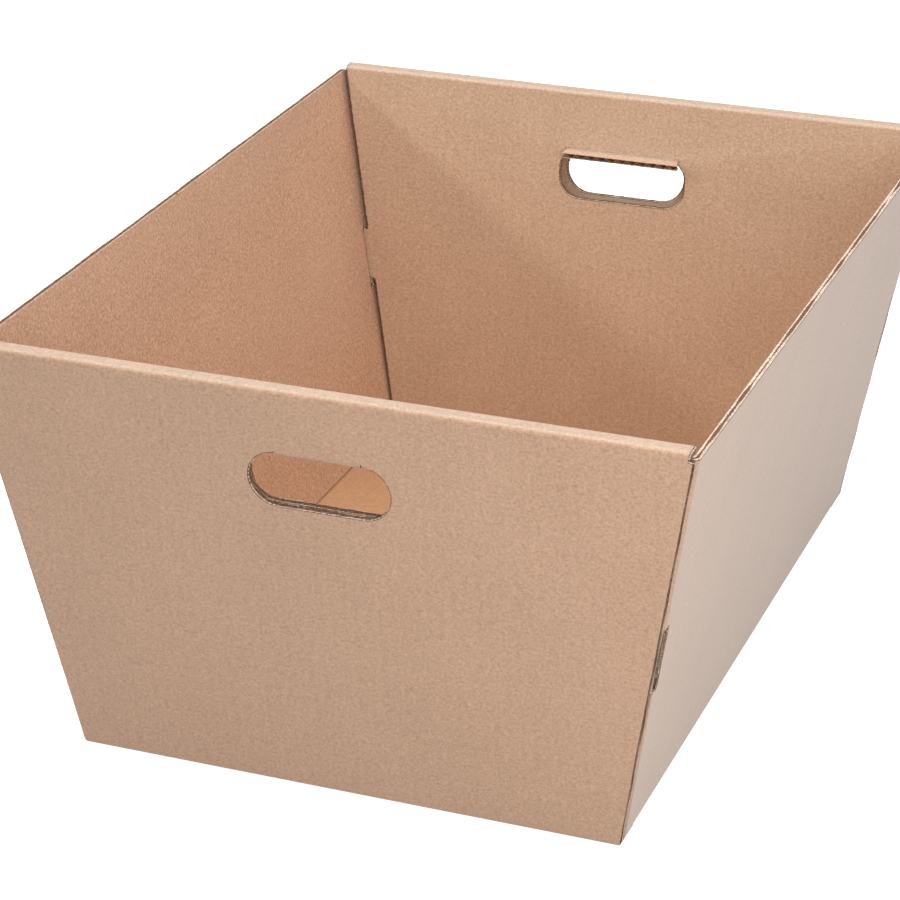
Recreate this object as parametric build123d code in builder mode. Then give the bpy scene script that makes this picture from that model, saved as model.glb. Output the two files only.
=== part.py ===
from build123d import *
import os
from math import atan, cos, degrees, radians, sin

# A tapered tray folded from one die-cut sheet of single-wall corrugated board. The end walls roll
# over into a second layer that traps the corner flaps, and tabs on that layer lock in slots at the
# corner folds. Millimetres; X runs across the tray, Y along it, Z up; the origin is the middle of
# the underside.

# Board
board = 4.0  # thickness of the sheet
layer_gap = 0.3  # air between layers that lie against each other
fold_radius = 3.0  # outside of a fold
crease_radius = 0.6  # inside of a fold
edge_gap = 0.8  # room between a cut edge and the floor under it

# Tray, over the outer faces
base_width = 360.0
base_length = 526.0
top_width = 464.0  # across the planes of the side walls, at the full height
top_length = 591.0  # along the planes of the end walls, at the full height
height = 283.0  # to the top of the rolled-over end walls
rim_gap = 1.5  # from the top of the side walls to the underside of the roll-over

# Cut edges of the end walls
outer_inset_base = 0.2  # outer layer, inside the plane of the side wall
outer_inset_top = 1.7
right_gap_base = 0.5  # inner layer, from the inside of the right side wall
right_gap_top = 0.5
left_gap_base = 2.5  # and of the left one: the inner layers were pushed over to the right
left_gap_top = 5.0

# Corner flaps, carried by the side walls
corner_flap_length = 120.0
corner_flap_slant = 14.0  # taper of the free end, at its top and foot
corner_relief = 2.0  # from the face of a corner flap back to the end of the side wall's foot

# Locking tabs of the inner layer and their slots in the corner folds
tab_base = 120.5  # height of the lower edge
tab_height = 38.5
tab_corner = 4.0  # cut-off corners of the tab's end
tab_recess = 0.5  # end of the tab, inside the face of the side wall
fold_recess = 1.0  # corner flap beside the slot, inside the face of the side wall
slot_room_below = 6.5
slot_room_above = 0.3
slot_room_behind = 0.3

# Hand-holes
hole_length = 90.0
hole_height = 36.0
hole_drop = 61.0  # centre, down the end wall from its top
inner_hole_room = 3.0  # inner layer's hole is longer by this at each end
inner_hole_rise = 1.0  # and taller by this
inner_hole_lift = 1.8  # and sits this much higher
inner_hole_trim = 3.0  # and has corners tighter than its half height by about this

# Hand-hole flaps, pushed in through the inner layer
flap_length = 18.5  # from the crease to the cut edge
flap_dip = 9.0  # degrees below level
flap_rise = 2.0  # crease above the top of the hole
flap_kerf = 0.4  # cut round the flap

overrun = 20.0  # how far cutting shapes pass the board

# Slopes and heights that follow
side_lean = (top_width - base_width) / 2 / height
end_lean = (top_length - base_length) / 2 / height
side_angle = atan(side_lean)
end_angle = atan(end_lean)
side_height = height - board - rim_gap
end_depth = 3 * board + 2 * layer_gap
flap_depth = board + layer_gap
foot_height = board + edge_gap


def side_x(z: float) -> float:
    """Outer face of the right side wall at a height."""
    return base_width / 2 + side_lean * z


def end_y(depth: float, z: float) -> float:
    """Face that lies a depth inside the outer face of the front wall, at a height."""
    return depth / cos(end_angle) - base_length / 2 - end_lean * z


def ramp(low: float, high: float, z: float) -> float:
    """Value that goes evenly from the underside to the full height."""
    return low + (high - low) * z / height


def outer_edge(z: float) -> float:
    """Right cut edge of an end wall's outer layer at a height."""
    return side_x(z) - ramp(outer_inset_base, outer_inset_top, z)


def inner_edge(gap: float, z: float) -> float:
    """Cut edge of an end wall's inner layer, a gap inside a side wall, at a height."""
    return side_x(z) - board / cos(side_angle) - gap


def front_plane(depth: float) -> Plane:
    """Plane of the front wall at a depth: x across, y up the wall, normal outwards."""
    return Plane(
        origin=(0, end_y(depth, 0), 0),
        x_dir=(1, 0, 0),
        z_dir=(0, -cos(end_angle), -sin(end_angle)),
    )


def up_wall(z: float) -> float:
    """Distance up the slope of an end wall to a height."""
    return z / cos(end_angle)


# Side walls and corner flaps: a quarter of the tray, then mirrored
side_plane = Plane(
    origin=(side_x(0), 0, 0),
    x_dir=(0, 1, 0),
    z_dir=(cos(side_angle), 0, -sin(side_angle)),
)
wall_in_x = board / cos(side_angle)
slot_base = tab_base - slot_room_below
slot_top = tab_base + tab_height + slot_room_above
slot_depth = end_depth + slot_room_behind
corner_middle = (side_height + foot_height) / 2

with BuildPart() as inside:
    with BuildSketch(Plane.XZ):
        with BuildLine():
            Polyline(
                (0, 0),
                (side_x(0) - wall_in_x, 0),
                (side_x(height) - wall_in_x, height),
                (0, height),
                close=True,
            )
        make_face()
    extrude(amount=top_length)
    with BuildSketch(Plane.YZ):
        with BuildLine():
            Polyline(
                (0, 0),
                (end_y(flap_depth + board, 0), 0),
                (end_y(flap_depth + board, height), height),
                (0, height),
                close=True,
            )
        make_face()
    extrude(amount=top_width, mode=Mode.INTERSECT)

with BuildPart() as side_walls:
    # Block inside the slopes of the side wall and of the corner flap
    with BuildSketch(Plane.XZ):
        with BuildLine():
            Polyline(
                (0, foot_height),
                (side_x(foot_height), foot_height),
                (side_x(side_height), side_height),
                (0, side_height),
                close=True,
            )
        make_face()
    extrude(amount=top_length)
    with BuildSketch(Plane.YZ):
        with BuildLine():
            Polyline(
                (0, foot_height),
                (end_y(flap_depth, foot_height), foot_height),
                (end_y(flap_depth, side_height), side_height),
                (0, side_height),
                close=True,
            )
        make_face()
    extrude(amount=top_width, mode=Mode.INTERSECT)

    # Rounded outside of the corner fold, then one board's thickness of the block
    corner_point = (side_x(corner_middle), end_y(flap_depth, corner_middle), corner_middle)
    fillet(edges().sort_by_distance(corner_point)[0], fold_radius)
    add(inside.part, mode=Mode.SUBTRACT)

    # Free end of the corner flap, tapered at its top and foot
    flap_end_foot = side_x(foot_height) - corner_flap_length
    flap_end_top = side_x(side_height) - corner_flap_length
    with BuildSketch(Plane.XZ):
        with BuildLine():
            Polyline(
                (0, 0),
                (flap_end_foot + corner_flap_slant, 0),
                (flap_end_foot + corner_flap_slant, foot_height),
                (flap_end_foot, foot_height + corner_flap_slant),
                (flap_end_top, side_height - corner_flap_slant),
                (flap_end_top + corner_flap_slant, side_height),
                (flap_end_top + corner_flap_slant, height),
                (0, height),
                close=True,
            )
        make_face()
    extrude(amount=top_length, mode=Mode.SUBTRACT)

    # Slot for the locking tab: the fold is cut back, and the wall behind the flap is cut through
    flap_back = flap_depth + board
    for near, far, cut in (
        (0, flap_back, fold_recess),
        (flap_back, slot_depth, board + fold_radius),
    ):
        with BuildSketch(side_plane):
            with BuildLine():
                Polyline(
                    (end_y(near, slot_base), slot_base / cos(side_angle)),
                    (end_y(far, slot_base), slot_base / cos(side_angle)),
                    (end_y(far, slot_top), slot_top / cos(side_angle)),
                    (end_y(near, slot_top), slot_top / cos(side_angle)),
                    close=True,
                )
            make_face()
        extrude(amount=-cut, mode=Mode.SUBTRACT)

    mirror(about=Plane.YZ)
    mirror(about=Plane.XZ)

# Floor between the end walls, with the folds at the feet of the side walls
relief_depth = flap_depth + corner_relief
floor_half_length = -end_y(relief_depth, 0)

with BuildPart() as floor:
    with BuildSketch(Plane.XZ):
        with BuildLine():
            Polyline(
                (0, 0),
                (side_x(0), 0),
                (side_x(foot_height), foot_height),
                (side_x(foot_height) - wall_in_x, foot_height),
                (side_x(board) - wall_in_x, board),
                (0, board),
                close=True,
            )
        make_face()
        fillet(vertices().group_by(Axis.Y)[1].sort_by(Axis.X)[-1], crease_radius)
        fillet(vertices().group_by(Axis.Y)[0].sort_by(Axis.X)[-1], fold_radius)
    extrude(amount=floor_half_length, both=True)
    mirror(about=Plane.YZ)

# Outer layer of the front wall, with its fold at the floor
bend_start = height - 2 * fold_radius
hole_centre = up_wall(height) - hole_drop
crease_up = hole_centre + hole_height / 2 + flap_rise
crease_width = hole_length - hole_height

with BuildPart() as outer_layer:
    with BuildSketch(Plane.YZ):
        with BuildLine():
            Polyline(
                (end_y(relief_depth, 0) + overrun, 0),
                (end_y(0, 0), 0),
                (end_y(0, bend_start), bend_start),
                (end_y(board, bend_start), bend_start),
                (end_y(board, board), board),
                (end_y(relief_depth, 0) + overrun, board),
                close=True,
            )
        make_face()
        fillet(vertices().group_by(Axis.Y)[1].sort_by(Axis.X)[0], crease_radius)
        fillet(vertices().group_by(Axis.Y)[0].sort_by(Axis.X)[0], fold_radius)
    extrude(amount=top_width, both=True)

    # Side edges
    with BuildSketch(Plane.XZ):
        with BuildLine():
            Polyline(
                (outer_edge(0), 0),
                (outer_edge(height), height),
                (-outer_edge(height), height),
                (-outer_edge(0), 0),
                close=True,
            )
        make_face()
    extrude(amount=top_length, both=True, mode=Mode.INTERSECT)

    # Hand-hole, open up to the crease of its flap
    with BuildSketch(front_plane(0)):
        with Locations((0, hole_centre)):
            SlotOverall(hole_length, hole_height)
        with Locations((0, crease_up)):
            Rectangle(
                crease_width + 2 * flap_kerf,
                crease_up - hole_centre,
                align=(Align.CENTER, Align.MAX),
            )
    extrude(amount=-(board + layer_gap), mode=Mode.SUBTRACT)

# Roll-over and inner layer of the front wall, with its locking tabs
tab_top = tab_base + tab_height


def tab_end(z: float) -> float:
    """End of a tab, out from the middle, at a height."""
    return side_x(z) - tab_recess


def tabbed_edge(gap_base: float, gap_top: float) -> list[tuple[float, float]]:
    """Side edge of the inner layer with its tab, from the foot up, as distances out and up."""

    def edge(z: float) -> tuple[float, float]:
        return (inner_edge(ramp(gap_base, gap_top, z), z), z)

    return [
        edge(0),
        edge(tab_base),
        (tab_end(tab_base) - tab_corner, tab_base),
        (tab_end(tab_base + tab_corner), tab_base + tab_corner),
        (tab_end(tab_top - tab_corner), tab_top - tab_corner),
        (tab_end(tab_top) - tab_corner, tab_top),
        edge(tab_top),
        edge(height),
    ]


with BuildPart() as inner_layer:
    with BuildSketch(Plane.YZ):
        with BuildLine():
            Polyline(
                (end_y(0, bend_start), bend_start),
                (end_y(0, height), height),
                (end_y(end_depth, height), height),
                (end_y(end_depth, foot_height), foot_height),
                (end_y(end_depth - board, foot_height), foot_height),
                (end_y(end_depth - board, height - board), height - board),
                (end_y(board, height - board), height - board),
                (end_y(board, bend_start), bend_start),
                close=True,
            )
        make_face()
        fillet(vertices().group_by(Axis.Y)[-2], crease_radius)
        fillet(vertices().group_by(Axis.Y)[-1], fold_radius)
    extrude(amount=top_width, both=True)

    # Side edges and tabs
    with BuildSketch(Plane.XZ):
        with BuildLine():
            right_edge = tabbed_edge(right_gap_base, right_gap_top)
            left_edge = [(-x, z) for x, z in reversed(tabbed_edge(left_gap_base, left_gap_top))]
            Polyline(*right_edge, *left_edge, close=True)
        make_face()
    extrude(amount=top_length, both=True, mode=Mode.INTERSECT)

    # Hand-hole, larger than the outer one to let the flap through
    inner_hole_height = hole_height + inner_hole_rise
    with BuildSketch(front_plane(end_depth + overrun)):
        with Locations((0, hole_centre + inner_hole_lift)):
            RectangleRounded(
                hole_length + 2 * inner_hole_room,
                inner_hole_height,
                inner_hole_height / 2 - inner_hole_trim,
            )
    extrude(amount=overrun + board + layer_gap, mode=Mode.SUBTRACT)

# Hand-hole flap of the front wall, bent in about the inside of the crease
wall_plane = front_plane(board)
crease_point = wall_plane.from_local_coords((0, crease_up, 0))
crease_axis = Axis(crease_point, (1, 0, 0))
flap_plane = Plane(
    origin=crease_point,
    x_dir=(1, 0, 0),
    z_dir=(0, -sin(radians(flap_dip)), -cos(radians(flap_dip))),
)
crease_plane = Plane(origin=crease_point, x_dir=(1, 0, 0), z_dir=wall_plane.y_dir)

with BuildPart() as hand_flap:
    with BuildSketch(crease_plane):
        Rectangle(crease_width, board, align=(Align.CENTER, Align.MAX))
    revolve(axis=crease_axis, revolution_arc=90 - flap_dip - degrees(end_angle))
    with BuildSketch(flap_plane):
        with Locations((0, -flap_rise - hole_height / 2)):
            SlotOverall(hole_length - 2 * flap_kerf, hole_height - 2 * flap_kerf)
        with Locations((0, -flap_length)):
            Rectangle(hole_length, hole_height, align=(Align.CENTER, Align.MAX), mode=Mode.SUBTRACT)
        Rectangle(crease_width, flap_length, align=(Align.CENTER, Align.MAX))
    extrude(amount=board)

# The folded sheet
with BuildPart() as tray:
    add(outer_layer.part)
    add(inner_layer.part)
    add(hand_flap.part)
    mirror(about=Plane.XZ)
    add(floor.part)
    add(side_walls.part)

tray.part.label = "tray"

os.makedirs("parts", exist_ok=True)
export_step(tray.part, "parts/tray.step")
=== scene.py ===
"""Looks of a tapered tray that is folded from one sheet of brown corrugated board.

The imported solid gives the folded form. Its faces become the two paper liners, with the fine teeth that a
cutting rule leaves, and fluted paper fills the board between them, so that every cut edge is open board.
Metres; X runs across the tray, Y along it, Z up.
"""

import logging
import math
import random
from dataclasses import dataclass, field
from enum import Enum, IntEnum
from typing import Any

import bmesh
import bpy
from mathutils import Matrix, Vector, noise
from mathutils.bvhtree import BVHTree


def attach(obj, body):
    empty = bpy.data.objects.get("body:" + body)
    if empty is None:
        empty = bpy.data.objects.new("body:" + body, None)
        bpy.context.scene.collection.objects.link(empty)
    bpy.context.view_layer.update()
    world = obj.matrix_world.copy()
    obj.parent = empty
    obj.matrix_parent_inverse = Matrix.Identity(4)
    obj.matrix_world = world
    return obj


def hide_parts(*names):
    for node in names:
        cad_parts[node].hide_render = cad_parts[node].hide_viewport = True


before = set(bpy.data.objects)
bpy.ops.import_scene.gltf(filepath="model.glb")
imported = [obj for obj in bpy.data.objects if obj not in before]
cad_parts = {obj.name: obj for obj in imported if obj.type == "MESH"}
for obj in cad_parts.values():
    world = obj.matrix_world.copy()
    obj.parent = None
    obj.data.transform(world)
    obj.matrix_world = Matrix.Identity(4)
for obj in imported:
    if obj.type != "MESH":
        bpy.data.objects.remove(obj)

LOG = logging.getLogger("tray")
MM = 0.001
BODY = "root"
NODE = "tray"
# Corners closer than WELD are one. A direction with at least a share of ALONG on an axis runs along it.
WELD = 0.001 * MM
ALONG = 0.9

Colour = tuple[float, float, float]


class Skin(IntEnum):
    """Material slots of the liners: the paper's face, its cut edge and the crushed board inside, whose dark
    brown is partly painted shade.
    """

    FACE = 0
    EDGE = 1
    CORE = 2


class End(Enum):
    """The two end walls, by the way they face along Y."""

    FRONT = -1
    BACK = 1


class Side(Enum):
    """The two side walls, by the way they face along X."""

    LEFT = -1
    RIGHT = 1


class Value:
    """A socket of a node tree, with arithmetic that adds Math nodes."""

    def __init__(self, graph: "Graph", socket: "bpy.types.NodeSocket | None") -> None:
        """Keeps the socket and the graph that it is in."""
        self.graph = graph
        self.socket = socket

    def __add__(self, other: "Value | float") -> "Value":
        """Sum."""
        return self.graph.math("ADD", self, other)

    def __sub__(self, other: "Value | float") -> "Value":
        """Difference."""
        return self.graph.math("SUBTRACT", self, other)

    def __rsub__(self, other: float) -> "Value":
        """Difference from a number."""
        return self.graph.math("SUBTRACT", other, self)

    def __mul__(self, other: "Value | float") -> "Value":
        """Product."""
        return self.graph.math("MULTIPLY", self, other)

    def __truediv__(self, other: "Value | float") -> "Value":
        """Quotient."""
        return self.graph.math("DIVIDE", self, other)

    def __gt__(self, other: "Value | float") -> "Value":
        """One where this is larger, else zero."""
        return self.graph.math("GREATER_THAN", self, other)

    def __lt__(self, other: "Value | float") -> "Value":
        """One where this is smaller, else zero."""
        return self.graph.math("LESS_THAN", self, other)

    def __abs__(self) -> "Value":
        """Size without sign."""
        return self.graph.math("ABSOLUTE", self)

    __radd__ = __add__
    __rmul__ = __mul__


class Graph:
    """A node tree of a material, the world or a Geometry Nodes modifier, built node by node."""

    def __init__(self, tree: bpy.types.NodeTree) -> None:
        """Takes over an existing tree and empties it."""
        self.tree = tree
        tree.nodes.clear()

    def add(self, kind: str, settings: dict[str, Any] | None = None,
            inputs: dict[int | str, Any] | None = None, out: int | str = 0) -> Value:
        """Adds a node.

        Args:
            kind: The node's type.
            settings: The node's properties, set first.
            inputs: A value, a Value or a list of Values for each socket, by name or number.
            out: The output to return, by name or number.

        Returns:
            The chosen output.
        """
        node = self.tree.nodes.new(kind)
        for name, setting in (settings or {}).items():
            setattr(node, name, setting)
        for key, value in (inputs or {}).items():
            for item in value if isinstance(value, list) else [value]:
                if isinstance(item, Value):
                    self.tree.links.new(item.socket, node.inputs[key])
                else:
                    node.inputs[key].default_value = item
        return Value(self, node.outputs[out] if len(node.outputs) else None)

    def math(self, operation: str, *operands: "Value | float") -> Value:
        """Adds a Math node on numbers."""
        return self.add("ShaderNodeMath", {"operation": operation}, dict(enumerate(operands)))

    def vector(self, operation: str, *operands: Any, out: int | str = 0) -> Value:
        """Adds a Vector Math node."""
        return self.add("ShaderNodeVectorMath", {"operation": operation}, dict(enumerate(operands)), out)

    def blend(self, share: "Value | float", first: Any, second: Any, kind: str = "MIX") -> Value:
        """Adds a colour Mix node, which mixes a share of the second colour into the first."""
        settings = {"data_type": "RGBA", "blend_type": kind}
        return self.add("ShaderNodeMix", settings, {0: share, 6: first, 7: second}, 2)

    def noise(self, where: Value, scale: float, detail: float = 2.0, rough: float = 0.5) -> Value:
        """Adds a noise texture of about 0 to 1, with so many cells in a unit of the coordinates."""
        sockets = {"Vector": where, "Scale": scale, "Detail": detail, "Roughness": rough}
        return self.add("ShaderNodeTexNoise", {"noise_dimensions": "3D"}, sockets)

    def ramp(self, value: Value, low: float, high: float, start: float = 0.0, end: float = 1.0) -> Value:
        """Adds a smooth ramp from start to end as a value goes from low to high."""
        sockets = {"Value": value, "From Min": low, "From Max": high, "To Min": start, "To Max": end}
        return self.add("ShaderNodeMapRange", {"interpolation_type": "SMOOTHSTEP"}, sockets)


def new_material(name: str) -> tuple[bpy.types.Material, Graph]:
    """Makes a material with an empty tree.

    Args:
        name: The material's name.

    Returns:
        The material and its tree.
    """
    material = bpy.data.materials.new(name)
    material.use_nodes = True
    return material, Graph(material.node_tree)


@dataclass(frozen=True)
class TrayForm:
    """Sizes of the folded tray that its board follows."""

    board: float = 4.0 * MM
    layer_gap: float = 0.3 * MM
    crease_radius: float = 0.6 * MM
    base_width: float = 360.0 * MM
    base_length: float = 526.0 * MM
    top_width: float = 464.0 * MM
    top_length: float = 591.0 * MM
    height: float = 283.0 * MM
    tab_base: float = 120.5 * MM
    tab_height: float = 38.5 * MM
    slot_room: float = 6.5 * MM
    hole_height: float = 36.0 * MM
    hole_length: float = 90.0 * MM
    hole_drop: float = 61.0 * MM
    flap_rise: float = 2.0 * MM
    flap_length: float = 18.5 * MM
    flap_dip: float = math.radians(9.0)

    @property
    def side_lean(self) -> float:
        """Outward lean of a side wall, as a share of its height."""
        return (self.top_width - self.base_width) / 2 / self.height

    @property
    def end_lean(self) -> float:
        """Outward lean of an end wall, as a share of its height."""
        return (self.top_length - self.base_length) / 2 / self.height

    @property
    def side_angle(self) -> float:
        """Lean of a side wall from upright."""
        return math.atan(self.side_lean)

    @property
    def end_angle(self) -> float:
        """Lean of an end wall from upright."""
        return math.atan(self.end_lean)

    @property
    def end_depth(self) -> float:
        """Thickness of a rolled-over end wall."""
        return 3 * self.board + 2 * self.layer_gap

    @property
    def score_up(self) -> float:
        """Place of a hand-hole flap's score, measured up the outer face of its end wall."""
        slope = self.height / math.cos(self.end_angle)
        return slope - self.hole_drop + self.hole_height / 2 + self.flap_rise

    def end_y(self, depth: float, z: float) -> float:
        """Distance along Y to a layer that lies a depth inside an end wall's outer face, at a height."""
        return self.base_length / 2 + self.end_lean * z - depth / math.cos(self.end_angle)


@dataclass(frozen=True)
class KraftLiner:
    """Brown kraft paper of the faces: grain, fibres, clouds and a faint washboard over the flutes.

    The tints shift the colour of the inner end walls (their paler paper, lifted further as painted light),
    the outer side walls and the rim (painted reflection), the floor (painted shade and bounce light) and its
    folds (painted shade).
    """

    dark: Colour = (0.460, 0.264, 0.157)
    pale: Colour = (0.780, 0.500, 0.332)
    flute_pitch: float = 7.9 * MM
    cloud_size: float = 60.0 * MM
    grain_size: float = 1.7 * MM
    fibre_width: float = 0.7 * MM
    fibre_stretch: float = 0.18
    cloud_share: float = 0.22
    grain_share: float = 1.55
    fibre_share: float = 0.70
    wave_share: float = 0.035
    inner_side_grain: float = 0.8
    grain_range: tuple[float, float] = (0.3, 0.7)
    roughness: tuple[float, float] = (0.43, 0.54)
    gloss: float = 0.75
    fuzz: float = 0.3
    fuzz_roughness: float = 0.45
    grain_relief: float = 0.7
    wave_relief: float = 0.8
    relief_strength: float = 0.18
    relief_depth: float = 0.25 * MM
    # Inner end walls: the inner liner's paler paper, lifted further as painted light inside the tray.
    inner_paper_and_light_tint: Colour = (1.03, 1.16, 1.23)
    # Outer side walls: greyed towards white as a painted reflection at a grazing angle.
    side_sheen_tint: Colour = (0.92, 0.96, 0.98)
    # Rim tops: paler and less saturated as a painted reflection of the lamps.
    rim_sheen_tint: Colour = (0.93, 1.06, 1.15)
    # Inner floor: darker and more golden as painted shade and warm bounce light deep in the tray.
    floor_shade_tint: Colour = (0.86, 0.75, 0.57)
    # Fold of the floor and the side walls: a dark line of painted shade in the crease.
    crease_shade_tint: Colour = (0.62, 0.56, 0.50)
    rim_height: float = 277.0 * MM
    floor_height: float = 10.0 * MM
    crease_shade_height: float = 5.0 * MM
    crease_shade_place: float = 175.0 * MM
    facing: float = 0.7

    def material(self) -> bpy.types.Material:
        """Builds the material.

        Returns:
            The material.
        """
        material, graph = new_material("kraft_liner")
        place = graph.add("ShaderNodeTexCoord", out="Object")
        normal = graph.add("ShaderNodeTexCoord", out="Normal")
        on_side = abs(graph.add("ShaderNodeSeparateXYZ", None, {0: normal})) > self.facing
        level = graph.vector("MULTIPLY", normal, (1.0, 1.0, 0.0))
        inside = graph.vector("DOT_PRODUCT", level, place, out="Value") < 0.0
        clouds = graph.noise(place, 1 / self.cloud_size, detail=1.0)
        grain = graph.noise(place, 1 / self.grain_size, detail=2.0, rough=0.6)
        along = self._stretched(graph, place, on_side)
        fibres = graph.noise(along, 1 / self.fibre_width, detail=2.0, rough=0.6)
        wave = self._washboard(graph, place, on_side)
        more = 1 + inside * on_side * self.inner_side_grain
        fine = (grain - 0.5) * self.grain_share + (fibres - 0.5) * self.fibre_share
        tone = 0.5 + (clouds - 0.5) * self.cloud_share + fine * more - wave * self.wave_share
        colour = graph.blend(tone, (*self.dark, 1.0), (*self.pale, 1.0))
        # Multiplies in the tints: painted light, painted reflection and painted shade, with the inner liner's
        # paler paper.
        for where, tint in self._tints(graph, place, normal, on_side, inside):
            colour = graph.blend(where, colour, (*tint, 1.0), "MULTIPLY")
        bump = graph.add("ShaderNodeBump", None, {
            "Strength": self.relief_strength,
            "Distance": self.relief_depth,
            "Height": grain * self.grain_relief + wave * self.wave_relief,
        })
        shader = graph.add("ShaderNodeBsdfPrincipled", None, {
            "Base Color": colour,
            "Roughness": graph.ramp(grain, *self.grain_range, *self.roughness),
            "Normal": bump,
            "Specular IOR Level": self.gloss,
            "Sheen Weight": self.fuzz,
            "Sheen Roughness": self.fuzz_roughness,
        })
        graph.add("ShaderNodeOutputMaterial", None, {"Surface": shader})
        return material

    def _tints(self, graph: Graph, place: Value, normal: Value, on_side: Value,
               inside: Value) -> list[tuple[Value, Colour]]:
        """Finds where each tint goes: painted light, painted reflection and painted shade, and the inner
        liner's paler paper.

        Args:
            graph: The material's tree.
            place: Object coordinates.
            normal: The way a face looks.
            on_side: One on the side walls, zero elsewhere.
            inside: One on the faces that look into the tray, zero elsewhere.

        Returns:
            Pairs of a tint's share and the tint.
        """
        up = graph.add("ShaderNodeSeparateXYZ", None, {0: normal}, "Z") > self.facing
        height = graph.add("ShaderNodeSeparateXYZ", None, {0: place}, "Z")
        across = abs(graph.add("ShaderNodeSeparateXYZ", None, {0: place}))
        # Painted shade: a narrow band along the floor's fold into the side walls.
        in_crease_shade = graph.ramp(across, self.crease_shade_place, self.crease_shade_place + MM) * (height < self.crease_shade_height)
        return [
            # Painted light: the inner end walls lifted, on top of their paler paper.
            (inside * (1 - on_side) * (1 - up), self.inner_paper_and_light_tint),
            # Painted reflection on the outer side walls.
            (on_side * (1 - inside), self.side_sheen_tint),
            # Painted reflection on the up-facing rim tops.
            (up * (height > self.rim_height), self.rim_sheen_tint),
            # Painted shade on the floor inside the tray.
            (up * (height < self.floor_height), self.floor_shade_tint),
            # Painted shade along the fold of the floor and the side walls.
            (in_crease_shade * graph.math("MAXIMUM", up, inside * on_side), self.crease_shade_tint),
        ]

    def _stretched(self, graph: Graph, place: Value, on_side: Value) -> Value:
        """Coordinates in which the fibres are long: across the end walls and up the side walls.

        Args:
            graph: The material's tree.
            place: Object coordinates.
            on_side: One on the side walls, zero elsewhere.

        Returns:
            The squeezed coordinates.
        """
        squeeze = 1 - self.fibre_stretch
        scale = graph.add("ShaderNodeCombineXYZ", None, {
            "X": self.fibre_stretch + on_side * squeeze, "Y": 1.0, "Z": 1.0 - on_side * squeeze,
        })
        return graph.vector("MULTIPLY", place, scale)

    def _washboard(self, graph: Graph, place: Value, on_side: Value) -> Value:
        """Faint lines where the liner is glued to the flute tips.

        Args:
            graph: The material's tree.
            place: Object coordinates.
            on_side: One on the side walls, zero elsewhere.

        Returns:
            A wave from 0 to 1 across the flutes.
        """
        split = graph.add("ShaderNodeSeparateXYZ", None, {0: place})
        across = Value(graph, split.socket.node.outputs["X"])
        up = Value(graph, split.socket.node.outputs["Z"])
        distance = across + (up - across) * on_side
        wave = graph.math("SINE", distance * (2 * math.pi / self.flute_pitch))
        return wave * 0.5 + 0.5


@dataclass(frozen=True)
class RawPaper:
    """Paper without a smooth face: one colour with flecks of a darker one."""

    name: str
    colour: Colour
    shade: Colour
    fleck_scale: float
    fleck_detail: float
    fleck_range: tuple[float, float]
    roughness: float
    gloss: float

    def material(self) -> bpy.types.Material:
        """Builds the material.

        Returns:
            The material.
        """
        material, graph = new_material(self.name)
        place = graph.add("ShaderNodeTexCoord", out="Object")
        flecks = graph.noise(place, self.fleck_scale, self.fleck_detail, rough=0.6)
        share = graph.ramp(flecks, *self.fleck_range)
        shader = graph.add("ShaderNodeBsdfPrincipled", None, {
            "Base Color": graph.blend(share, (*self.colour, 1.0), (*self.shade, 1.0)),
            "Roughness": self.roughness,
            "Specular IOR Level": self.gloss,
        })
        graph.add("ShaderNodeOutputMaterial", None, {"Surface": shader})
        return material


@dataclass(frozen=True)
class CutPaper(RawPaper):
    """Torn fibres on the thin cut edge of a liner, paler than its face."""

    name: str = "cut_paper"
    colour: Colour = (0.90, 0.76, 0.63)
    shade: Colour = (0.56, 0.38, 0.26)
    fleck_scale: float = 700.0
    fleck_detail: float = 2.0
    fleck_range: tuple[float, float] = (0.45, 0.68)
    roughness: float = 0.9
    gloss: float = 0.05


@dataclass(frozen=True)
class FlutePaper(RawPaper):
    """Recycled paper of the fluted middle, darker than the liners and darkened further as painted shade deep
    in the open flutes.
    """

    name: str = "flute_paper_and_shade"
    # Darkened below the paper's own brown: painted shade inside the flutes.
    colour: Colour = (0.34, 0.205, 0.130)
    shade: Colour = (0.22, 0.130, 0.080)
    fleck_scale: float = 600.0
    fleck_detail: float = 3.0
    fleck_range: tuple[float, float] = (0.35, 0.7)
    roughness: float = 0.85
    gloss: float = 0.2


def new_object(name: str, data: bpy.types.ID) -> bpy.types.Object:
    """Puts a mesh, a lamp or a camera in the scene, at the origin.

    Args:
        name: The object's name.
        data: What it holds.

    Returns:
        The new object.
    """
    piece = bpy.data.objects.new(name, data)
    bpy.context.scene.collection.objects.link(piece)
    return piece


def plain_mesh(piece: bpy.types.Object) -> bpy.types.Mesh:
    """Makes a new plain mesh of an object with its modifiers' result."""
    depsgraph = bpy.context.evaluated_depsgraph_get()
    return bpy.data.meshes.new_from_object(piece.evaluated_get(depsgraph))


def claim(piece: bpy.types.Object) -> bpy.types.Object:
    """Makes a finished piece ride on the tray's one body.

    Args:
        piece: The piece.

    Returns:
        The same piece.
    """
    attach(piece, BODY)
    return piece


@dataclass(frozen=True)
class Score:
    """Place of a hand-hole flap's score on the outer face of its end wall."""

    end: End
    half: float
    outside: float
    height: float


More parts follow.
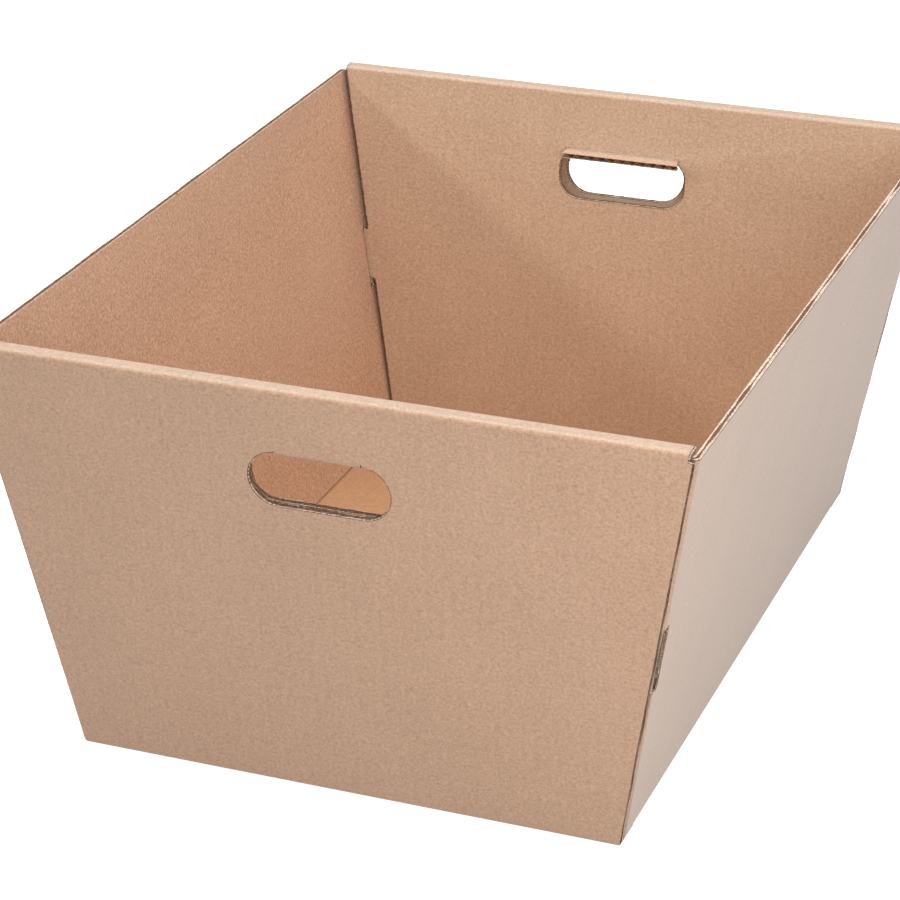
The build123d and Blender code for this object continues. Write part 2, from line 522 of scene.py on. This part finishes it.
@dataclass
class Liners:
    """The two paper faces of the board, all round the folded sheet."""

    form: TrayForm
    paper: float = 0.42 * MM
    tooth_pitch: float = 1.0 * MM
    tooth_depth: float = 0.34 * MM
    tooth_spread: float = 0.55
    low_tooth: float = 0.2
    coarse: float = 2.4
    lip: float = 0.5 * MM
    rim_lip: float = 1.25 * MM
    bevel: float = 0.5 * MM
    lip_spread: float = 0.7
    lip_fray: float = 0.5
    lip_patch: float = 22.0 * MM
    bend_from: float = math.radians(2.0)
    bend_to: float = math.radians(35.0)
    recess: float = 0.5 * MM
    score_bend: float = 2.2 * MM
    score_steps: int = 4
    score_pull: float = 0.6
    lid_upright: float = 0.85
    seed: int = 11
    face: KraftLiner = KraftLiner()
    edge: CutPaper = CutPaper()
    # The crushed board is darker than the flute paper: painted shade in the groove between the paper lips.
    core: FlutePaper = FlutePaper("crushed_paper_and_shade", (0.23, 0.125, 0.075), (0.13, 0.070, 0.042))

    @property
    def band(self) -> float:
        """Three boards: longer edges run along a panel, and the foot and the rim are this high."""
        return 3 * self.form.board

    def build(self, solid: bpy.types.Object) -> bpy.types.Object:
        """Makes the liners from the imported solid.

        Args:
            solid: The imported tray.

        Returns:
            The liners as one piece.
        """
        mesh = bpy.data.meshes.new("tray_liners")
        shell = bmesh.new()
        shell.from_mesh(solid.data)
        bmesh.ops.remove_doubles(shell, verts=shell.verts, dist=WELD)
        for polygon in shell.faces:
            polygon.material_index = Skin.FACE
        cut = self._cut_faces(shell)
        crushed = self._crushed(cut)
        bmesh.ops.delete(shell, geom=cut, context="FACES")
        for end in End:
            self._close_crease(shell, end)
        self._cut_teeth(shell)
        self._turn_lips(shell)
        shell.from_mesh(crushed)
        bpy.data.meshes.remove(crushed)
        for polygon in shell.faces:
            polygon.smooth = True
        for corner in shell.verts:
            corner.co.z = max(corner.co.z, 0.0)
        shell.to_mesh(mesh)
        shell.free()
        piece = new_object("tray_liners", mesh)
        self._thicken(piece)
        return self.dress(piece)

    def _cut_faces(self, shell: bmesh.types.BMesh) -> list[bmesh.types.BMFace]:
        """Finds the faces of the cut edges, which don't have the board's other face close behind them.

        A face that bends a little from a paper face along a whole panel is part of a fold, and is paper
        as well.

        Args:
            shell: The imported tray.

        Returns:
            The faces of the cut edges.
        """
        tree = BVHTree.FromBMesh(shell)
        start = 0.01 * MM
        thickest = 1.6 * self.form.board
        opposite = 0.5
        weights = (0.46, 0.33, 0.21)
        cut, queue = {}, []
        for polygon in shell.faces:
            inward = -polygon.normal
            inside = sum((loop.vert.co * weight for loop, weight in zip(polygon.loops, weights)), Vector())
            _, facing, _, _ = tree.ray_cast(inside + inward * start, inward, thickest)
            if facing is None or facing.dot(inward) < opposite:
                cut[polygon] = True
            else:
                queue.append((polygon, self.bend_from))
        while queue:
            polygon, least = queue.pop()
            for edge in polygon.edges:
                bent = least <= edge.calc_face_angle(math.pi) < self.bend_to
                if bent and edge.calc_length() > self.band:
                    queue.extend((face, 0.0) for face in edge.link_faces if cut.pop(face, False))
        return list(cut)

    def _crushed(self, cut: list[bmesh.types.BMFace]) -> bpy.types.Mesh:
        """Makes the crushed brown board a little inside the cut edges, except at the foot and the flaps. Its
        dark brown is partly painted shade between the paper lips.

        Args:
            cut: The faces of the cut edges.

        Returns:
            The crushed board's surface.
        """
        form = self.form
        patch = bmesh.new()
        corners: dict[bmesh.types.BMVert, bmesh.types.BMVert] = {}
        for polygon in cut:
            place = polygon.calc_center_median()
            at_flap = (
                abs(place.x) < form.hole_length / 2 + form.board
                and place.z > form.height - 2 * form.hole_drop
                and abs(place.y) < form.end_y(form.end_depth + self.recess, place.z)
            )
            if at_flap or place.z < self.band:
                continue
            for corner in polygon.verts:
                if corner not in corners:
                    corners[corner] = patch.verts.new(corner.co)
            patch.faces.new([corners[corner] for corner in polygon.verts]).material_index = Skin.CORE
        patch.normal_update()
        for corner in patch.verts:
            corner.co -= corner.normal * self.recess
        mesh = bpy.data.meshes.new("crushed")
        patch.to_mesh(mesh)
        patch.free()
        return mesh

    def _close_crease(self, shell: bmesh.types.BMesh, end: End) -> None:
        """Leads the outer paper over the score of a hand-hole flap, from the panel round to the flap.

        Args:
            shell: The paper.
            end: The end wall with the flap.
        """
        score = self._score(end)
        lid = [polygon for polygon in shell.faces if self._covers(polygon, score)]
        bmesh.ops.delete(shell, geom=lid, context="FACES")
        open_edges = [edge for edge in shell.edges if self._follows(edge, score)]
        open_edges.sort(key=lambda edge: edge.verts[0].co.z)
        lowest, highest = open_edges[0], open_edges[-1]
        flap, panel = (sorted(edge.verts, key=lambda corner: corner.co.x) for edge in (lowest, highest))
        self._bridge(shell, end, panel, flap)
        LOG.info("score of the %s flap: %d lids, %d open edges", end.name.lower(), len(lid), len(open_edges))

    def _score(self, end: End) -> Score:
        """Works out where the score of a hand-hole flap is.

        Args:
            end: The end wall with the flap.

        Returns:
            The score's place.
        """
        form = self.form
        height = form.score_up * math.cos(form.end_angle)
        half = (form.hole_length - form.hole_height) / 2 + self.score_bend / 4
        return Score(end, half, end.value * form.end_y(0.0, height), height)

    def _covers(self, polygon: bmesh.types.BMFace, score: Score) -> bool:
        """Tells whether a face lies over a score, and so has to make way for the bend.

        Args:
            polygon: A face of the paper.
            score: The score.

        Returns:
            Whether it lies over the score.
        """
        place = polygon.calc_center_median()
        near = (
            abs(place.x) < score.half
            and abs(place.y - score.outside) < self.form.board
            and -self.score_bend < place.z - score.height < self.score_bend / 2
        )
        turned = polygon.normal.z > ALONG or polygon.normal.y * score.end.value > self.lid_upright
        return near and turned and all(abs(corner.co.x) < score.half for corner in polygon.verts)

    def _follows(self, edge: bmesh.types.BMEdge, score: Score) -> bool:
        """Tells whether an edge is open and runs along a score.

        Args:
            edge: An edge of the paper.
            score: The score.

        Returns:
            Whether it is open and runs along the score.
        """
        return edge.is_boundary and edge.calc_length() > self.band and all(
            abs(corner.co.x) < score.half
            and abs(corner.co.y - score.outside) < self.form.board / 2
            and abs(corner.co.z - score.height) < 2 * self.score_bend
            for corner in edge.verts
        )

    def _bridge(self, shell: bmesh.types.BMesh, end: End, panel: list[bmesh.types.BMVert],
                flap: list[bmesh.types.BMVert]) -> None:
        """Leads paper from the panel's edge round to the flap's edge, in bent strips.

        Args:
            shell: The paper.
            end: The end wall with the flap.
            panel: The two corners of the panel's edge, by their place across the tray.
            flap: The two corners of the flap's edge, likewise.
        """
        lean = Vector((0.0, -end.value * self.form.end_lean, -1.0)).normalized()
        down = lean * (self.score_pull * (panel[0].co - flap[0].co).length)
        row = panel
        for step in range(1, self.score_steps + 1):
            share = step / self.score_steps
            near, bent, far = (1 - share) ** 2, 2 * share * (1 - share), share ** 2
            below = flap if step == self.score_steps else [
                shell.verts.new(top.co * near + (top.co + down) * bent + foot.co * far)
                for top, foot in zip(panel, flap)]
            corners = (row[0], below[0], below[1], row[1])
            shell.faces.new(corners if end is End.FRONT else corners[::-1])
            row = below

    def _cut_teeth(self, shell: bmesh.types.BMesh) -> None:
        """Gives each cut edge of the paper the fine uneven teeth of a cutting rule.

        Args:
            shell: The paper.
        """
        draw = random.Random(self.seed)
        shell.edges.ensure_lookup_table()
        shell.normal_update()
        moves: list[tuple[bmesh.types.BMVert, Vector]] = []
        for edge in [edge for edge in shell.edges if edge.is_boundary]:
            polygon = edge.link_faces[0]
            inward = self._inward(edge, polygon)
            upright = abs(inward.x) > ALONG and abs(polygon.normal.y) > ALONG
            tooth = self.tooth_depth * (self.coarse if upright else 1.0)
            count = max(1, round(edge.calc_length() / self.tooth_pitch))
            start, rest = edge.verts[0], edge
            for left in range(count, 1, -1):
                rest, start = self._split(rest, start, 1.0 / left)
                depth = tooth * draw.uniform(1 - self.tooth_spread, 1 + self.tooth_spread)
                if left % 2:
                    depth *= self.low_tooth
                moves.append((start, inward * depth))
        for corner, move in moves:
            corner.co += move

    def _turn_lips(self, shell: bmesh.types.BMesh) -> None:
        """Bends each cut edge of the paper in over the flutes, unevenly, as the cutting rule crushes it.

        Args:
            shell: The paper.
        """
        shell.normal_update()
        cut = [edge for edge in shell.edges if edge.is_boundary]
        inward: dict[bmesh.types.BMVert, Vector] = {}
        for edge in cut:
            for corner in edge.verts:
                inward[corner] = inward.get(corner, Vector()) + self._inward(edge, edge.link_faces[0])
        lips: dict[bmesh.types.BMVert, bmesh.types.BMVert] = {}
        for corner, direction in inward.items():
            rough = 1 + self.lip_spread * noise.noise(corner.co / self.lip_patch)
            rough += self.lip_fray * self.lip_spread * noise.noise(corner.co / self.tooth_pitch)
            lip = self.rim_lip if corner.co.z > self.form.height - self.band else self.lip
            lips[corner] = shell.verts.new(corner.co - corner.normal * (lip * rough))
            corner.co += direction.normalized() * (self.bevel * rough)
        for edge in cut:
            loop = edge.link_loops[0]
            a, b = loop.vert, loop.link_loop_next.vert
            turned = shell.faces.new((b, a, lips[a], lips[b]))
            turned.material_index = Skin.EDGE
            edge.smooth = False

    @staticmethod
    def _split(edge: bmesh.types.BMEdge, start: bmesh.types.BMVert,
               share: float) -> tuple[bmesh.types.BMEdge, bmesh.types.BMVert]:
        """Splits an edge.

        Args:
            edge: The edge.
            start: The end to measure from.
            share: Where to split, as a share of the length.

        Returns:
            The far part of the edge, starting at the new corner, and the new corner.
        """
        far = edge.other_vert(start)
        _, corner = bmesh.utils.edge_split(edge, start, share)
        rest = next(e for e in corner.link_edges if far in e.verts)
        return rest, corner

    @staticmethod
    def _inward(edge: bmesh.types.BMEdge, polygon: bmesh.types.BMFace) -> Vector:
        """Finds the direction from a cut edge into its face.

        Args:
            edge: The edge.
            polygon: Its face.

        Returns:
            The direction.
        """
        run = (edge.verts[1].co - edge.verts[0].co).normalized()
        inward = polygon.normal.cross(run)
        middle = (edge.verts[0].co + edge.verts[1].co) / 2
        return inward if inward.dot(polygon.calc_center_median() - middle) > 0 else -inward

    def _thicken(self, piece: bpy.types.Object) -> None:
        """Gives the paper its materials, and its thickness into the board.

        Args:
            piece: The liners.
        """
        solidify = piece.modifiers.new("paper", "SOLIDIFY")
        solidify.thickness = self.paper
        solidify.offset = -1.0
        solidify.use_rim = True
        solidify.material_offset_rim = Skin.EDGE - Skin.FACE
        for finish in (self.face, self.edge, self.core):
            piece.data.materials.append(finish.material())
        normals = piece.modifiers.new("normals", "WEIGHTED_NORMAL")
        normals.keep_sharp = True
        mesh = plain_mesh(piece)
        piece.modifiers.clear()
        piece.data = mesh

    def dress(self, piece: bpy.types.Object) -> bpy.types.Object:
        """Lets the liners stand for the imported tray.

        Args:
            piece: The liners.

        Returns:
            The same piece.
        """
        claim(piece)
        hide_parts(NODE)
        return piece


@dataclass(frozen=True)
class StrayLimit:
    """Leaning plane past which a fluted sheet has no board to fill, and another one in a band of heights."""

    axis: Vector
    foot: float
    lean: float = 0.0
    band_foot: float = 0.0
    band_low: float = 0.0
    band_high: float = 0.0


@dataclass
class Fluting:
    """The fluted paper between the liners, made as sheets that follow the board's middle."""

    form: TrayForm
    liner: float
    pitch: float = 7.9 * MM
    paper: float = 0.36 * MM
    columns_per_wave: int = 8
    arc_steps: int = 5
    finish: FlutePaper = FlutePaper()
    edge: CutPaper = CutPaper(colour=(0.52, 0.36, 0.25), shade=(0.36, 0.23, 0.15))
    materials: list[bpy.types.Material] = field(default_factory=list, init=False)
    tree: "bpy.types.NodeTree | None" = field(default=None, init=False)

    def build(self, solid: bpy.types.Object) -> bpy.types.Object:
        """Makes every fluted sheet and joins them.

        Args:
            solid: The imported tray, which trims the sheets.

        Returns:
            The fluting as one piece.
        """
        self.materials = [self.finish.material(), self.edge.material()]
        self.tree = self._tree()
        joined = bmesh.new()
        for end in End:
            self._take(joined, self._outer_strip(end, solid))
            self._take(joined, self._inner_strip(end, solid))
            self._take(joined, self._flap_sheet(end, solid))
        for side in Side:
            self._take(joined, self._side_sheet(side, solid))
        mesh = bpy.data.meshes.new("tray_fluting")
        joined.to_mesh(mesh)
        joined.free()
        for material in self.materials:
            mesh.materials.append(material)
        return self.dress(new_object("tray_fluting", mesh))

    def dress(self, piece: bpy.types.Object) -> bpy.types.Object:
        """Makes the fluting ride with the tray."""
        return claim(piece)

    def _take(self, joined: bmesh.types.BMesh, mesh: bpy.types.Mesh) -> None:
        """Adds a sheet's mesh to the joined one.

        Args:
            joined: The joined mesh.
            mesh: The sheet's mesh, which is used up.
        """
        for polygon in mesh.polygons:
            polygon.material_index = self.materials.index(mesh.materials[polygon.material_index])
        joined.from_mesh(mesh)
        bpy.data.meshes.remove(mesh)

    def _outer_strip(self, end: End, solid: bpy.types.Object) -> bpy.types.Mesh:
        """Strip that runs from the floor up the outer layer of an end wall and half over its top.

        Args:
            end: The end wall.
            solid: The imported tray.

        Returns:
            The trimmed strip.
        """
        form = self.form
        middle = form.board / 2
        top = form.height - middle
        foot = form.end_y(middle, middle)
        onto_floor = 5 * form.board
        corners = [
            (foot - onto_floor, middle),
            (foot, middle),
            (form.end_y(middle, top), top),
            (form.end_y(form.end_depth / 2, top), top),
        ]
        return self._strip(end, corners, StrayLimit(Vector((1, 0, 0)), form.top_width), solid)

    def _inner_strip(self, end: End, solid: bpy.types.Object) -> bpy.types.Mesh:
        """Strip that runs from the top of an end wall down its inner layer, with the tabs.

        Args:
            end: The end wall.
            solid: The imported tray.

        Returns:
            The trimmed strip.
        """
        form = self.form
        top = form.height - form.board / 2
        inner = form.end_depth - form.board / 2
        clear = form.board + form.crease_radius
        corners = [
            (form.end_y(form.end_depth / 2, top), top),
            (form.end_y(inner, top), top),
            (form.end_y(inner, clear), clear),
        ]
        inside = form.base_width / 2 - form.board / math.cos(form.side_angle)
        limit = StrayLimit(Vector((1, 0, 0)), inside, form.side_lean, form.top_width,
                           form.tab_base, form.tab_base + form.tab_height)
        return self._strip(end, corners, limit, solid)

    def _strip(self, end: End, corners: list[tuple[float, float]], limit: StrayLimit,
               solid: bpy.types.Object) -> bpy.types.Mesh:
        """Strip with flutes that follow a line with rounded corners, at one end of the tray.

        Args:
            end: The end wall.
            corners: The line's corners, as distances along the tray and up.
            limit: Where strays start.
            solid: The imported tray.

        Returns:
            The trimmed strip.
        """
        line = self._rounded(corners, self._rise() + self.paper)
        points = [Vector((0.0, end.value * y, z)) for y, z in line]
        half = self.form.top_width / 2
        return self._sheet(points, Vector((1, 0, 0)), -half, 2 * half, limit, solid)

    def _flap_sheet(self, end: End, solid: bpy.types.Object) -> bpy.types.Mesh:
        """Sheet in a hand-hole flap.

        Args:
            end: The end wall.
            solid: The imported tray.

        Returns:
            The trimmed sheet.
        """
        form = self.form
        height = form.score_up * math.cos(form.end_angle) - form.board * math.sin(form.end_angle)
        crease = Vector((0.0, form.end_y(form.board, height), height))
        run = Vector((0.0, -math.cos(form.flap_dip), -math.sin(form.flap_dip)))
        under = Vector((0.0, math.sin(form.flap_dip), -math.cos(form.flap_dip)))
        start = crease + under * (form.board / 2)
        points = [start, start + run * (form.flap_length + form.board)]
        points = [Vector((0.0, end.value * p.y, p.z)) for p in points]
        half = form.hole_length / 2
        limit = StrayLimit(Vector((1, 0, 0)), form.top_width)
        return self._sheet(points, Vector((1, 0, 0)), -half, 2 * half, limit, solid)

    def _side_sheet(self, side: Side, solid: bpy.types.Object) -> bpy.types.Mesh:
        """Sheet in a side wall, with its flutes along the tray.

        Args:
            side: The side wall.
            solid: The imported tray.

        Returns:
            The trimmed sheet.
        """
        form = self.form
        up = Vector((side.value * math.sin(form.side_angle), 0.0, math.cos(form.side_angle)))
        middle = form.base_width / 2 - form.board / 2 / math.cos(form.side_angle)
        foot = Vector((side.value * middle, 0.0, 0.0))
        half = form.top_length / 2
        points = [foot + Vector((0.0, -half, 0.0)), foot + Vector((0.0, half, 0.0))]
        corner = form.end_y(form.board + form.layer_gap / 2, 0.0)
        slot_end = form.end_y(form.end_depth + form.layer_gap / 2, 0.0)
        limit = StrayLimit(Vector((0, 1, 0)), corner, form.end_lean, slot_end,
                           form.tab_base - form.slot_room, form.tab_base + form.tab_height + form.layer_gap)
        slope = form.height / math.cos(form.side_angle)
        return self._sheet(points, up, 0.0, slope, limit, solid)

    def _rounded(self, corners: list[tuple[float, float]], radius: float) -> list[tuple[float, float]]:
        """Rounds the inner corners of an open line.

        Args:
            corners: The line's corners.
            radius: The radius of each rounded corner.

        Returns:
            The points of the rounded line.
        """
        points = [Vector(corner) for corner in corners]
        line = [points[0]]
        for before, corner, after in zip(points, points[1:], points[2:]):
            a, b = (before - corner).normalized(), (after - corner).normalized()
            half = a.angle(b) / 2
            reach = radius / math.tan(half)
            centre = corner + (a + b).normalized() * (radius / math.sin(half))
            start, end = corner + a * reach - centre, corner + b * reach - centre
            for step in range(self.arc_steps + 1):
                share = step / self.arc_steps
                line.append(centre + start.slerp(end, share).normalized() * radius)
        line.append(points[-1])
        return [tuple(point) for point in line]

    def _sheet(self, points: list[Vector], across: Vector, start: float, width: float,
               limit: StrayLimit, solid: bpy.types.Object) -> bpy.types.Mesh:
        """Runs the Geometry Nodes tree for one sheet.

        Args:
            points: The line that the flutes follow.
            across: The direction across the flutes.
            start: Where the sheet starts, across the flutes.
            width: The sheet's width across the flutes.
            limit: Where strays start.
            solid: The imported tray, which trims the sheet.

        Returns:
            The trimmed sheet as a plain mesh.
        """
        guide = bpy.data.meshes.new("flute_line")
        guide.from_pydata(points, [(i, i + 1) for i in range(len(points) - 1)], [])
        outward = guide.attributes.new("outward", "FLOAT_VECTOR", "POINT")
        for i in range(len(points)):
            run = points[min(i + 1, len(points) - 1)] - points[max(i - 1, 0)]
            outward.data[i].vector = across.cross(run).normalized()
        line = new_object("flute_line", guide)
        carrier = new_object("flute_sheet", bpy.data.meshes.new("flute_sheet"))
        columns = round(width / self.pitch * self.columns_per_wave)
        modifier = carrier.modifiers.new("fluting", "NODES")
        modifier.node_group = self.tree
        values = {
            "Line": line, "Board": solid, "Across": across, "Start": start, "Step": width / columns,
            "Columns": columns + 1, "Rows": len(points), "Pitch": self.pitch, "Rise": self._rise(),
            "Paper": self.paper, "Limit Axis": limit.axis, "Limit Foot": limit.foot, "Limit Lean": limit.lean,
            "Band Foot": limit.band_foot, "Band Low": limit.band_low, "Band High": limit.band_high,
            "Finish": self.materials[0], "Edge Finish": self.materials[1],
        }
        for socket in self.tree.interface.items_tree:
            if socket.name in values:
                modifier[socket.identifier] = values[socket.name]
        mesh = plain_mesh(carrier)
        carrier.modifiers.clear()
        for helper in (line, carrier):
            data = helper.data
            bpy.data.objects.remove(helper)
            bpy.data.meshes.remove(data)
        return mesh

    def _rise(self) -> float:
        """Half the height of the wave between the liners."""
        return (self.form.board - 2 * self.liner - self.paper) / 2

    def _tree(self) -> bpy.types.NodeTree:
        """Makes the Geometry Nodes tree of a fluted sheet that follows a line and is trimmed by the board.

        Returns:
            The tree.
        """
        tree = bpy.data.node_groups.new("fluting", "GeometryNodeTree")
        kinds = {
            "Line": "Object", "Board": "Object", "Across": "Vector", "Start": "Float", "Step": "Float",
            "Columns": "Int", "Rows": "Int", "Pitch": "Float", "Rise": "Float", "Paper": "Float",
            "Limit Axis": "Vector", "Limit Foot": "Float", "Limit Lean": "Float", "Band Foot": "Float",
            "Band Low": "Float", "Band High": "Float", "Finish": "Material", "Edge Finish": "Material",
        }
        for name, kind in kinds.items():
            tree.interface.new_socket(name, in_out="INPUT", socket_type=f"NodeSocket{kind}")
        tree.interface.new_socket("Sheet", in_out="OUTPUT", socket_type="NodeSocketGeometry")
        graph = Graph(tree)
        group = graph.add("NodeGroupInput").socket.node
        given = {name: Value(graph, group.outputs[name]) for name in kinds}

        sheet = self._wave_nodes(graph, given)
        board = graph.add("GeometryNodeObjectInfo", None, {"Object": given["Board"]}, "Geometry")
        board = graph.add("GeometryNodeMergeByDistance", None, {"Geometry": board, "Distance": WELD})
        board = graph.add("GeometryNodeStoreNamedAttribute", {"data_type": "BOOLEAN", "domain": "FACE"},
                          {"Geometry": board, "Name": "cut", "Value": True})
        trimmed = graph.add("GeometryNodeMeshBoolean", {"operation": "INTERSECT", "solver": "EXACT"},
                            {"Mesh 2": [sheet, board]})
        kept = self._stray_nodes(graph, given, trimmed)
        kept = graph.add("GeometryNodeRealizeInstances", None, {"Geometry": kept})
        kept = graph.add("GeometryNodeSetMaterial", None, {"Geometry": kept, "Material": given["Finish"]})
        cut = graph.add("GeometryNodeInputNamedAttribute", {"data_type": "BOOLEAN"}, {"Name": "cut"})
        kept = graph.add("GeometryNodeSetMaterial", None,
                         {"Geometry": kept, "Selection": cut, "Material": given["Edge Finish"]})
        graph.add("NodeGroupOutput", None, {"Sheet": kept})
        return tree

    @staticmethod
    def _wave_nodes(graph: Graph, given: dict[str, Value]) -> Value:
        """Nodes of the waved paper, as a closed thin solid.

        Args:
            graph: The tree.
            given: The tree's inputs.

        Returns:
            The paper's geometry.
        """
        grid = graph.add("GeometryNodeMeshGrid", None,
                         {"Vertices X": given["Columns"], "Vertices Y": given["Rows"]}, "Mesh")
        index = graph.add("GeometryNodeInputIndex")
        row = graph.math("MODULO", index, given["Rows"])
        column = graph.math("FLOOR", index / given["Rows"])
        line = graph.add("GeometryNodeObjectInfo", None, {"Object": given["Line"]}, "Geometry")
        vectors = {"data_type": "FLOAT_VECTOR"}
        per_point = {**vectors, "domain": "POINT"}
        stored = graph.add("GeometryNodeInputNamedAttribute", vectors, {"Name": "outward"})
        position = graph.add("GeometryNodeInputPosition")
        outward, middle = (
            graph.add("GeometryNodeSampleIndex", per_point, {"Geometry": line, "Value": value, "Index": row})
            for value in (stored, position))
        distance = given["Start"] + column * given["Step"]
        wave = graph.math("SINE", distance * (2 * math.pi) / given["Pitch"])
        lift = wave * given["Rise"] - given["Paper"] * 0.5
        scaling = {"operation": "SCALE"}
        sideways = graph.add("ShaderNodeVectorMath", scaling, {0: given["Across"], "Scale": distance})
        lifted = graph.add("ShaderNodeVectorMath", scaling, {0: outward, "Scale": lift})
        place = graph.vector("ADD", graph.vector("ADD", middle, sideways), lifted)
        sheet = graph.add("GeometryNodeStoreNamedAttribute", per_point,
                          {"Geometry": grid, "Name": "outward", "Value": outward})
        sheet = graph.add("GeometryNodeSetPosition", None, {"Geometry": sheet, "Position": place})
        far = graph.add("GeometryNodeExtrudeMesh", {"mode": "FACES"}, {
            "Mesh": sheet, "Offset": stored, "Offset Scale": given["Paper"], "Individual": False,
        })
        near = graph.add("GeometryNodeFlipFaces", None, {"Mesh": sheet})
        closed = graph.add("GeometryNodeJoinGeometry", None, {"Geometry": [far, near]})
        return graph.add("GeometryNodeMergeByDistance", None, {"Geometry": closed, "Distance": WELD})

    @staticmethod
    def _stray_nodes(graph: Graph, given: dict[str, Value], trimmed: Value) -> Value:
        """Nodes that drop what lies beyond a leaning limit, which is another one in a band of heights.

        Args:
            graph: The tree.
            given: The tree's inputs.
            trimmed: The trimmed paper.

        Returns:
            The paper without strays.
        """
        position = graph.add("GeometryNodeInputPosition")
        height = graph.add("ShaderNodeSeparateXYZ", None, {0: position}, "Z")
        reach = abs(graph.vector("DOT_PRODUCT", position, given["Limit Axis"], out="Value"))
        in_band = (height > given["Band Low"]) * (height < given["Band High"])
        foot = given["Limit Foot"] + (given["Band Foot"] - given["Limit Foot"]) * in_band
        return graph.add("GeometryNodeDeleteGeometry", {"domain": "FACE"},
                         {"Geometry": trimmed, "Selection": reach > foot + given["Limit Lean"] * height})


@dataclass
class PhotoView:
    """Camera at the photograph's angle."""

    azimuth: float = math.radians(21.351)
    elevation: float = math.radians(24.826)
    roll: float = math.radians(-0.506)
    aim: tuple[float, float, float] = (-0.0302, 0.0, 0.1159)
    distance: float = 2.0931
    lens: float = 122.85
    sensor: float = 36.0
    farthest: float = 50.0

    def build(self) -> bpy.types.Object:
        """Makes the camera and gives it to the scene.

        Returns:
            The camera.
        """
        data = bpy.data.cameras.new("photo_view")
        data.lens = self.lens
        data.sensor_width = self.sensor
        data.clip_end = self.farthest
        camera = new_object("photo_view", data)
        level = math.cos(self.elevation)
        back = Vector((
            math.sin(self.azimuth) * level, -math.cos(self.azimuth) * level, math.sin(self.elevation),
        ))
        turn = back.to_track_quat("Z", "Y").to_matrix().to_4x4() @ Matrix.Rotation(self.roll, 4, "Z")
        camera.matrix_world = Matrix.Translation(Vector(self.aim) + back * self.distance) @ turn
        bpy.context.scene.camera = camera
        return camera


@dataclass(frozen=True)
class Lamp:
    """A soft square lamp."""

    name: str
    place: tuple[float, float, float]
    aim: tuple[float, float, float]
    size: float
    power: float

    def build(self) -> bpy.types.Object:
        """Hangs the lamp.

        Returns:
            The lamp.
        """
        data = bpy.data.lights.new(self.name, "AREA")
        data.size = self.size
        data.energy = self.power
        lamp = new_object(self.name, data)
        away = Vector(self.place) - Vector(self.aim)
        lamp.matrix_world = Matrix.Translation(self.place) @ away.to_track_quat("Z", "Y").to_matrix().to_4x4()
        return lamp


@dataclass
class Studio:
    """Pale floor and soft light."""

    floor_size: float = 12.0
    floor_colour: tuple[float, float, float] = (0.42, 0.42, 0.42)
    floor_glow: float = 0.92
    sky: float = 0.3
    lamps: tuple[Lamp, ...] = (
        Lamp("overhead", (0.0, 0.1, 2.3), (0.0, 0.0, 0.2), 2.6, 52.0),
        Lamp("key", (-2.0, -0.6, 1.62), (0.0, 0.2, 0.15), 0.28, 17.0),
        Lamp("fill", (0.88, -1.05, 0.65), (0.1, -0.2, 0.15), 0.8, 8.3),
    )

    def build(self) -> bpy.types.Object:
        """Makes the floor, the lamps and the world.

        Returns:
            The floor.
        """
        bpy.context.scene.view_settings.view_transform = "Standard"
        self._world()
        for lamp in self.lamps:
            lamp.build()
        return self._floor()

    def _world(self) -> None:
        """Even white surroundings."""
        world = bpy.data.worlds.new("surroundings")
        world.use_nodes = True
        graph = Graph(world.node_tree)
        sky = graph.add("ShaderNodeBackground", None, {"Color": (1.0, 1.0, 1.0, 1.0), "Strength": self.sky})
        graph.add("ShaderNodeOutputWorld", None, {"Surface": sky})
        bpy.context.scene.world = world

    def _floor(self) -> bpy.types.Object:
        """Makes the pale floor, which looks white to the camera and keeps the tray's shadow.

        Returns:
            The floor.
        """
        sheet = bmesh.new()
        bmesh.ops.create_grid(sheet, x_segments=1, y_segments=1, size=self.floor_size / 2)
        mesh = bpy.data.meshes.new("studio_floor")
        sheet.to_mesh(mesh)
        sheet.free()
        floor = new_object("studio_floor", mesh)
        material, graph = new_material("studio_floor")
        rays = graph.add("ShaderNodeLightPath", out="Is Camera Ray")
        ray = rays.socket.node.outputs
        seen = graph.math("MAXIMUM", rays, graph.math("MAXIMUM", Value(graph, ray["Is Glossy Ray"]),
                                                      Value(graph, ray["Is Transmission Ray"])))
        paint = graph.add("ShaderNodeBsdfDiffuse", None, {"Color": (*self.floor_colour, 1.0)})
        glow = graph.add("ShaderNodeEmission", None, {"Strength": seen * self.floor_glow})
        surface = graph.add("ShaderNodeAddShader", None, {0: paint, 1: glow})
        graph.add("ShaderNodeOutputMaterial", None, {"Surface": surface})
        mesh.materials.append(material)
        return floor


def main() -> None:
    """Builds the tray's board, the studio and the camera."""
    logging.basicConfig(level=logging.INFO, format="%(name)s: %(message)s")
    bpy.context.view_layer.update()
    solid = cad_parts[NODE]
    form = TrayForm()
    liners = Liners(form)
    fluting = Fluting(form, liners.paper)
    for piece in (fluting.build(solid), liners.build(solid)):
        LOG.info("%s: %d faces", piece.name, len(piece.data.polygons))
    PhotoView().build()
    Studio().build()


if __name__ == "__main__":
    main()
